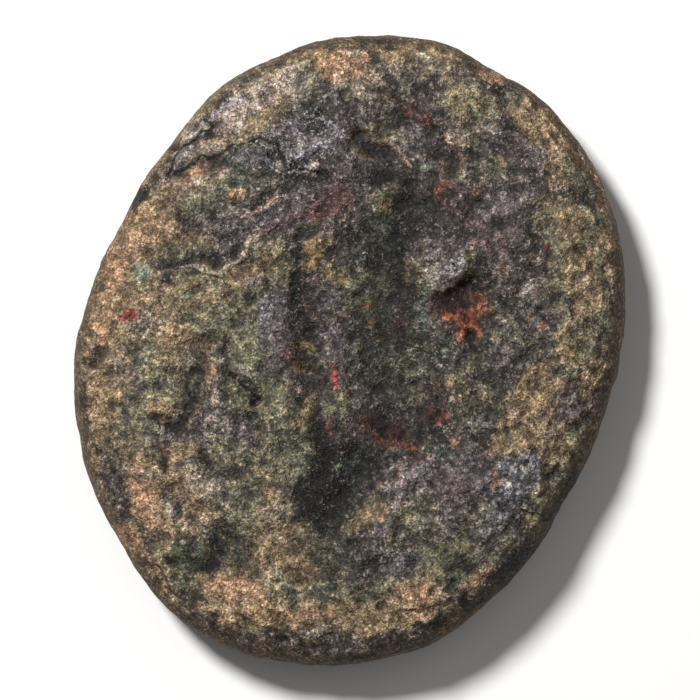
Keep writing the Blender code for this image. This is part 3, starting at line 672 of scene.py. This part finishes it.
def onto_coin(direction, tree, middle):
    """Carries a direction on the sphere to the solid's surface: obverse, edge or reverse."""
    polar = math.acos(max(-1.0, min(1.0, direction[2])))
    outward = Vector((direction[0], direction[1], 0.0))
    if outward.length < TINY:
        outward = Vector((1.0, 0.0, 0.0))
    outward.normalize()
    reach = (cast(tree, middle, outward) - middle).length - EDGE_DEPTH
    if polar <= OBVERSE_END:
        share_out = math.sin(polar / 2) / math.sin(OBVERSE_END / 2)
        return cast(tree, middle + outward * reach * share_out, Vector((0.0, 0.0, 1.0)))
    if polar >= EDGE_END:
        share_out = math.cos(polar / 2) / math.cos(EDGE_END / 2)
        return cast(tree, middle + outward * reach * share_out, Vector((0.0, 0.0, -1.0)))
    turn = math.pi * (polar - OBVERSE_END) / (EDGE_END - OBVERSE_END)
    heading = outward * EDGE_DEPTH * math.sin(turn) + Vector((0.0, 0.0, EDGE_RISE * math.cos(turn)))
    return cast(tree, middle + outward * reach, heading.normalized())


def apply_modifiers(piece):
    """Puts the evaluated mesh in place of the piece's own, and drops the modifiers."""
    graph = bpy.context.evaluated_depsgraph_get()
    done = bpy.data.meshes.new_from_object(piece.evaluated_get(graph))
    piece.modifiers.clear()
    piece.data = done


def make_surface(solid, middle):
    """The fine mesh, on the solid's surface and smoothed over its facets."""
    tree = solid_tree(solid)
    data, sphere = sphere_directions()
    places = [onto_coin(direction, tree, middle) for direction in sphere.tolist()]
    data.vertices.foreach_set("co", np.array(places, dtype=np.float32).ravel())
    data.update()
    coin = bpy.data.objects.new("patinated_coin", data)
    bpy.context.scene.collection.objects.link(coin)
    smooth = coin.modifiers.new("over_facets", "SMOOTH")
    smooth.iterations = SMOOTH_TURNS
    smooth.factor = SMOOTH_SHARE
    apply_modifiers(coin)
    return coin


def noise_at(places, scale, shift=0.0):
    """Smooth noise from about -1 to 1 at each place. Places and scale are in millimetres."""
    scaled = places / scale + shift
    return np.array([noise.noise(Vector(place)) for place in scaled.tolist()])


def smoothstep(low, high, value):
    """0 where the value is at low, 1 where it is at high, and smooth between. Low may be the larger."""
    share = np.clip((value - low) / (high - low), 0.0, 1.0)
    return share * share * (3 - 2 * share)


def turned(x, y, turn_deg):
    """How far each place lies along and across an axis that is turned from X."""
    turn = math.radians(turn_deg)
    return x * math.cos(turn) + y * math.sin(turn), -x * math.sin(turn) + y * math.cos(turn)


def patch_density(patch, x, y):
    """How dense the patch is at each place: full in its middle, fading out round its edge."""
    along, across = turned(x - patch.x, y - patch.y, patch.turn_deg)
    return patch.density * smoothstep(*PATCH_EDGE, np.hypot(along / patch.along, across / patch.across))


def layer_density(patches, x, y):
    """The densest of the patches and lines at each place, with a little more where several meet."""
    densest = np.zeros_like(x)
    total = np.zeros_like(x)
    for patch in patches:
        density = line_height(patch, x, y) if isinstance(patch, Line) else patch_density(patch, x, y)
        densest = np.maximum(densest, density)
        total += density
    return densest + OVERLAP * (total - densest)


def runs(line, x, y):
    """For each straight run of the line, how far off each place is, and 1 on its left or -1 on its right."""
    for (x1, y1), (x2, y2) in zip(line.corners, line.corners[1:]):
        run_x = x2 - x1
        run_y = y2 - y1
        share = np.clip(((x - x1) * run_x + (y - y1) * run_y) / (run_x**2 + run_y**2), 0.0, 1.0)
        away = np.hypot(x - x1 - share * run_x, y - y1 - share * run_y)
        yield away, np.sign(run_x * (y - y1) - run_y * (x - x1))


def line_height(line, x, y):
    """Height of the line's groove or ridge at each place, dying away to its sides and past its ends."""
    nearest = np.full_like(x, np.inf)
    for away, _ in runs(line, x, y):
        nearest = np.minimum(nearest, away)
    return line.height * np.exp(-((nearest / line.width) ** 2))


def crack_fields(x, y):
    """Signed distance to the nearest crack in shares of its width, and how dark the crack's painted shade is
    there.
    """
    side = np.full_like(x, CRACK_REACH / CRACKS[0].width)
    dark = np.zeros_like(x)
    nearest = np.full_like(x, CRACK_REACH)
    for crack in CRACKS:
        to_ends = [np.hypot(x - end_x, y - end_y) for end_x, end_y in (crack.corners[0], crack.corners[-1])]
        fade = smoothstep(0.0, CRACK_FADE, np.minimum(*to_ends))
        for away, left in runs(crack, x, y):
            closer = away < nearest
            side = np.where(closer, left * away / crack.width, side)
            dark = np.where(closer, crack.height * fade, dark)
            nearest = np.minimum(nearest, away)
    return side, dark


def pit_height(pit, x, y):
    """A bowl with a low raised lip."""
    away = np.hypot(x - pit.x, y - pit.y) / pit.radius
    lip = PIT_LIP_HEIGHT * np.exp(-(((away - PIT_LIP_PLACE) / PIT_LIP_BREADTH) ** 2))
    return -pit.depth * (np.exp(-(away**2)) - lip)


def blurred(values, mesh, turns):
    """Each value evened out with its neighbours' along the mesh's edges."""
    edges = np.empty(len(mesh.edges) * 2, dtype=np.int64)
    mesh.edges.foreach_get("vertices", edges)
    start, end = edges.reshape(-1, 2).T
    count = len(values)
    neighbours = np.bincount(start, minlength=count) + np.bincount(end, minlength=count)
    for _ in range(turns):
        total = np.bincount(start, values[end], count) + np.bincount(end, values[start], count)
        values = (1 - BLUR_SHARE) * values + BLUR_SHARE * total / neighbours
    return values


def add_relief(coin, warped):
    """Raises the cracks, ledges, pits and crust, and returns how high each place stands over the solid."""
    mesh = coin.data
    places = vertex_rows(mesh, "co") / MM
    normals = vertex_rows(mesh, "normal")
    x, y = warped
    upper = smoothstep(*RELIEF_FACING, normals[:, 2])
    height = np.zeros(len(places))
    for line in LINES:
        height += line_height(line, x, y)
    for pit in PITS:
        height += pit_height(pit, x, y)
    along, across = turned(x, y, STREAKED.turn_deg)
    grained = np.stack((along / STREAK_LENGTH, across / STREAK_BREADTH, np.zeros_like(x)), axis=1)
    height += STREAK_HEIGHT * patch_density(STREAKED, x, y) * noise_at(grained, 1.0)
    height *= upper
    calm = 1 - EDGE_CALM * smoothstep(*CALM_STEEPNESS, 1 - np.abs(normals[:, 2]))
    for index, (scale, rise) in enumerate(CRUST):
        height += calm * rise * noise_at(places, scale, CRUST_SHIFT * index)
    moved = places + normals * height[:, None]
    resting = normals[:, 2] < RESTING_FACING
    moved[resting, 2] = np.maximum(moved[resting, 2], places[resting, 2])
    moved[:, 2] = np.maximum(moved[:, 2], 0.0)
    mesh.vertices.foreach_set("co", (moved * MM).astype(np.float32).ravel())
    mesh.update()
    return height


def add_attribute(mesh, name, values):
    layer = mesh.attributes.new(name, "FLOAT", "POINT")
    layer.data.foreach_set("value", values.astype(np.float32))


def warped_places(places):
    """X and Y of each place, led astray by noise."""
    x = places[:, 0].copy()
    y = places[:, 1].copy()
    for scale, reach in WARP:
        x += reach * noise_at(places, scale, WARP_X_SHIFT)
        y += reach * noise_at(places, scale, WARP_Y_SHIFT)
    return x, y


def add_patina(coin, warped, height):
    """Stores how dense each layer of patina and painted sheen is, and where the surface is cracked, glossy or
    hollow, which the material turns into gloss, painted glints and painted shade.
    """
    mesh = coin.data
    places = vertex_rows(mesh, "co") / MM
    normals = vertex_rows(mesh, "normal")
    x, y = warped
    seen = smoothstep(*OBVERSE_FACING, normals[:, 2])
    for index, (name, patches) in enumerate(LAYERS.items()):
        density = layer_density(patches, x, y)
        drift = noise_at(places, REVERSE_SCALE, REVERSE_SHIFT + LAYER_SHIFT * index)
        hidden = REVERSE_LAYERS.get(name, 0.0) * smoothstep(*REVERSE_CLOUDS, drift)
        add_attribute(mesh, name, seen * density + (1 - seen) * hidden)
    side, dark = crack_fields(x, y)
    add_attribute(mesh, "crack_side", side)
    add_attribute(mesh, "crack_dark", dark * seen)
    # The edge's earth is laid thicker on the side away from the key light, as painted shade
    shaded = smoothstep(*SHADED_FACING, (normals[:, 0] - normals[:, 1]) / math.sqrt(2))
    edge = smoothstep(*EDGE_STEEPNESS, 1 - np.abs(normals[:, 2]))
    add_attribute(mesh, "edge", edge * (LIT_EDGE + (1 - LIT_EDGE) * shaded))
    add_attribute(mesh, "glossy", layer_density(GLOSSY, x, y) * seen)
    # How far each place lies below or above what is round it, which the material paints as shade in hollows
    # and light on tops
    add_attribute(mesh, "hollow", height - blurred(height, mesh, HOLLOW_TURNS))
    near, around = (blurred(places[:, 2], mesh, turns) for turns in BROAD_TURNS)
    flat = smoothstep(*FLAT_FACING, np.abs(normals[:, 2]))
    add_attribute(mesh, "broad_hollow", flat * np.sign(normals[:, 2]) * (near - around))


def linear(colour):
    """Screen values from 0 to 255 as the linear ones that a shader takes, by the sRGB curve."""
    channels = []
    for value in colour:
        share = value / 255
        channels.append(share / 12.92 if share <= 0.04045 else ((share + 0.055) / 1.055) ** 2.4)
    return (*channels, 1.0)


class Shader:
    """Short ways to add nodes to one material."""

    def __init__(self, name):
        self.material = bpy.data.materials.new(name)
        self.material.use_nodes = True
        self.tree = self.material.node_tree
        self.surface = self.tree.nodes["Principled BSDF"]
        self.place = self.tree.nodes.new("ShaderNodeTexCoord").outputs["Object"]

    def link(self, value, socket):
        """Links a node's output to the socket, or sets the socket to a plain value."""
        if isinstance(value, bpy.types.NodeSocket):
            self.tree.links.new(value, socket)
        else:
            socket.default_value = value

    def add(self, kind, inputs):
        node = self.tree.nodes.new(kind)
        for name, value in inputs.items():
            self.link(value, node.inputs[name])
        return node

    def math(self, operation, first, second=0.0, clamp=False):
        node = self.add("ShaderNodeMath", {0: first, 1: second})
        node.operation = operation
        node.use_clamp = clamp
        return node.outputs[0]

    def vector_math(self, operation, *values):
        node = self.add("ShaderNodeVectorMath", dict(enumerate(values)))
        node.operation = operation
        return node.outputs["Vector"]

    def product(self, first, *others):
        for other in others:
            first = self.math("MULTIPLY", first, other)
        return first

    def swing(self, texture, amount):
        """How far the texture is from its middle, times the amount."""
        return self.product(self.math("SUBTRACT", texture, 0.5), amount)

    def attribute(self, name):
        node = self.tree.nodes.new("ShaderNodeAttribute")
        node.attribute_name = name
        return node.outputs["Fac"]

    def noise(self, size_mm, detail=2.0, rough=0.5, bend=0.0, output="Fac"):
        inputs = {"Vector": self.place, "Scale": 1 / (size_mm * MM), "Detail": detail}
        inputs.update({"Roughness": rough, "Distortion": bend})
        return self.add("ShaderNodeTexNoise", inputs).outputs[output]

    def jolted_place(self, size_mm, reach_mm):
        """The place, led astray by noise, so that what is drawn with it has ragged outlines."""
        jolt = self.noise(size_mm, output="Color")
        return self.vector_math("MULTIPLY_ADD", jolt, (reach_mm * MM,) * 3, self.place)

    def grains(self, size_mm, place):
        """Scattered grains: distance to the nearest in shares of their size, and its two random numbers."""
        node = self.add("ShaderNodeTexVoronoi", {"Vector": place, "Scale": 1 / (size_mm * MM)})
        own = self.add("ShaderNodeSeparateColor", {"Color": node.outputs["Color"]})
        return node.outputs["Distance"], own.outputs["Red"], own.outputs["Green"]

    def span(self, value, low, high, out_low=0.0, out_high=1.0):
        """The value carried from one stretch to another, and no further than its ends."""
        inputs = {"Value": value, "From Min": low, "From Max": high, "To Min": out_low, "To Max": out_high}
        node = self.add("ShaderNodeMapRange", inputs)
        node.interpolation_type = "SMOOTHSTEP"
        return node.outputs["Result"]

    def mix(self, share, first, second):
        node = self.tree.nodes.new("ShaderNodeMix")
        node.data_type = "RGBA"
        for name, value in (("Factor", share), ("A", first), ("B", second)):
            self.link(value, node.inputs[name])
        return node.outputs["Result"]


def patina_textures(shader):
    """The patina's shared textures, each about 0.5 on average, and its hollows."""
    dome, shade, _ = shader.grains(GRAINS_SIZE, shader.jolted_place(*GRAINS_JOLT))
    small_dome, small_shade, hue = shader.grains(SMALL_SIZE, shader.jolted_place(*SMALL_JOLT))
    return {
        "grain": shader.noise(*GRAIN_NOISE),
        "lumps": shader.noise(*LUMP_NOISE),
        "drift": shader.noise(*DRIFT_NOISE),
        "dome": dome,
        "shade": shade,
        "small_dome": small_dome,
        "small_shade": small_shade,
        "hue": hue,
        "hollow": shader.attribute("hollow"),
        "broad_hollow": shader.attribute("broad_hollow"),
    }


def layer_cover(shader, textures, name, by_grain, by_lumps, most):
    """How much of a layer shows: its density, made ragged by grain and lumps."""
    ragged = shader.math("ADD", shader.attribute(name), shader.swing(textures["grain"], by_grain))
    ragged = shader.math("ADD", ragged, shader.swing(textures["lumps"], by_lumps))
    return shader.span(ragged, *COVER_EDGE, 0.0, most)


def patina_colour(shader, textures):
    """Dark bronze under earthy crusts, coloured stains, painted sheen and painted shade, and how much of it
    the crusts cover.
    """
    metal = shader.mix(shader.span(textures["drift"], *PAIR_MIX), linear(METAL), linear(LIGHT_METAL))
    khaki = shader.mix(shader.span(textures["lumps"], *PAIR_MIX), linear(KHAKI_GREY), linear(KHAKI_TONE))
    crust = layer_cover(shader, textures, "khaki", *KHAKI_COVER)
    colour = shader.mix(crust, metal, khaki)
    for name, (layer_colour, by_grain, by_lumps, most) in STAINS_AND_PAINTED_LIGHT.items():
        cover = layer_cover(shader, textures, name, by_grain, by_lumps, most)
        colour = shader.mix(cover, colour, linear(layer_colour))
        if name in CRUSTS:
            crust = shader.math("MAXIMUM", crust, cover)
    tint = shader.mix(textures["hue"], GREEN_TINT, RED_TINT)
    return shader.vector_math("MULTIPLY", colour, tint), crust


def patina_tone(shader, textures, crust):
    """How light each place is: painted shade in hollows, in gaps between grains and in cracks, painted light
    on tops and grain crests, and tone that varies at random.
    """
    tones = [shader.span(textures[name], *stretch) for name, stretch in TONES.items()]
    own = textures["small_shade"]
    # Small grains vary the tone at random; the lightest of them carry painted glints
    small = shader.math("ADD", shader.span(own, *SMALL_TONE), shader.span(own, *SPARKLE_TONE))
    small = shader.math("POWER", small, shader.span(crust, *SMALL_POWER))
    light = shader.math("POWER", shader.product(small, *tones), shader.span(crust, *BARE_POWER))
    # The cracks' painted shade
    wander = shader.swing(shader.noise(*CRACK_NOISE), CRACK_WANDER)
    off_crack = shader.math("ABSOLUTE", shader.math("ADD", shader.attribute("crack_side"), wander))
    crack = shader.product(shader.span(off_crack, *CRACK_TONE), shader.attribute("crack_dark"))
    return shader.product(light, shader.math("SUBTRACT", 1.0, crack))


def add_painted_glints(shader, textures, colour):
    """Painted glints: flecks of light colour on the grain, most of them where the surface is glossy."""
    gloss = shader.product(shader.attribute("glossy"), SHINE_BY_GLOSS)
    shine = shader.math("ADD", gloss, LEAST_SHINE, clamp=True)
    clouds = shader.span(textures["lumps"], *SHINE_CLOUDS)
    fleck = shader.product(shader.span(textures["grain"], *FLECK_EDGE), shine, clouds)
    return shader.mix(fleck, colour, linear(PAINTED_GLINT))


def patina_roughness(shader, textures):
    rough = shader.span(shader.attribute("glossy"), *ROUGHNESS)
    return shader.math("ADD", rough, shader.swing(textures["lumps"], ROUGHNESS_CHANGE), clamp=True)


def patina_bump(shader, textures):
    """A normal for the grains, which are finer than the mesh."""
    height = textures["grain"]
    for name, share in (("dome", DOME_BUMP), ("small_dome", SMALL_DOME_BUMP)):
        height = shader.math("SUBTRACT", height, shader.product(textures[name], share))
    bump = shader.add("ShaderNodeBump", {"Strength": 1.0, "Distance": BUMP_DEPTH, "Height": height})
    return bump.outputs["Normal"]


def patina_material():
    shader = Shader("bronze_patina")
    textures = patina_textures(shader)
    colour, crust = patina_colour(shader, textures)
    colour = shader.vector_math("MULTIPLY", colour, patina_tone(shader, textures, crust))
    shader.link(add_painted_glints(shader, textures, colour), shader.surface.inputs["Base Color"])
    shader.link(patina_roughness(shader, textures), shader.surface.inputs["Roughness"])
    shader.link(patina_bump(shader, textures), shader.surface.inputs["Normal"])
    shader.surface.inputs["Specular IOR Level"].default_value = SPECULAR_LEVEL
    return shader.material


def make_floor():
    bpy.ops.mesh.primitive_plane_add(size=FLOOR_SIZE)
    floor = bpy.context.object
    floor.name = "studio_floor"
    shader = Shader("pale_floor")
    shader.surface.inputs["Base Color"].default_value = (*FLOOR_COLOUR, 1.0)
    shader.surface.inputs["Roughness"].default_value = FLOOR_ROUGHNESS
    floor.data.materials.append(shader.material)


def aim(thing, place, target, up=Vector((0.0, 1.0, 0.0))):
    """Stands a camera or light at a place, looking at the target, with the picture's top towards up."""
    back = (Vector(place) - target).normalized()
    right = up.cross(back).normalized()
    turn = Matrix((right, back.cross(right), back)).transposed()
    thing.matrix_world = Matrix.Translation(place) @ turn.to_4x4()


def add_area_light(name, power, size, place, target):
    data = bpy.data.lights.new(name, "AREA")
    data.energy = power
    data.shape = "DISK"
    data.size = size
    light = bpy.data.objects.new(name, data)
    bpy.context.scene.collection.objects.link(light)
    aim(light, place, target)


def add_studio(target):
    make_floor()
    for name, (power, size, place) in LIGHTS.items():
        add_area_light(name, power, size, place, target)
    world = bpy.data.worlds.new("studio")
    bpy.context.scene.world = world
    world.use_nodes = True
    sky = world.node_tree.nodes["Background"]
    sky.inputs["Strength"].default_value = SKY_STRENGTH
    sky.inputs["Color"].default_value = SKY_COLOUR
    bpy.context.scene.view_settings.view_transform = "Standard"


def add_camera(target):
    data = bpy.data.cameras.new("camera")
    data.sensor_width = CAMERA_SENSOR
    frame_width = PHOTO_PIXELS / PIXELS_PER_MM * MM
    data.lens = CAMERA_SENSOR * CAMERA_DISTANCE / frame_width
    data.clip_start = CAMERA_CLIP
    camera = bpy.data.objects.new("camera", data)
    bpy.context.scene.collection.objects.link(camera)
    side = math.sin(CAMERA_LEAN)
    back = Vector((side * math.cos(CAMERA_BEARING), side * math.sin(CAMERA_BEARING), math.cos(CAMERA_LEAN)))
    aim(camera, target + back * CAMERA_DISTANCE, target)
    bpy.context.scene.camera = camera


def make_coin(solid, middle):
    coin = make_surface(solid, middle)
    warped = warped_places(vertex_rows(coin.data, "co") / MM)
    height = add_relief(coin, warped)
    add_patina(coin, warped, height)
    coin.data.materials.clear()
    coin.data.materials.append(patina_material())
    coin.data.shade_smooth()
    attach(coin, "root")
    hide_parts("coin")


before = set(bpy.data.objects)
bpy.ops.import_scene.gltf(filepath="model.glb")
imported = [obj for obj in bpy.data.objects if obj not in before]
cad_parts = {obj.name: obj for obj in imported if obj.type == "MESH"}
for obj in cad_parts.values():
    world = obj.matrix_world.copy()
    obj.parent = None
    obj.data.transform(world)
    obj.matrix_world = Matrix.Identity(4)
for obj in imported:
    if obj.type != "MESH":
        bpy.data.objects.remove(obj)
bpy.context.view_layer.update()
low, high = (Vector(corner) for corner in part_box("coin"))
middle = (low + high) / 2
make_coin(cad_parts["coin"], middle)
add_studio(middle)
add_camera(Vector((0.0, 0.0, middle.z)))
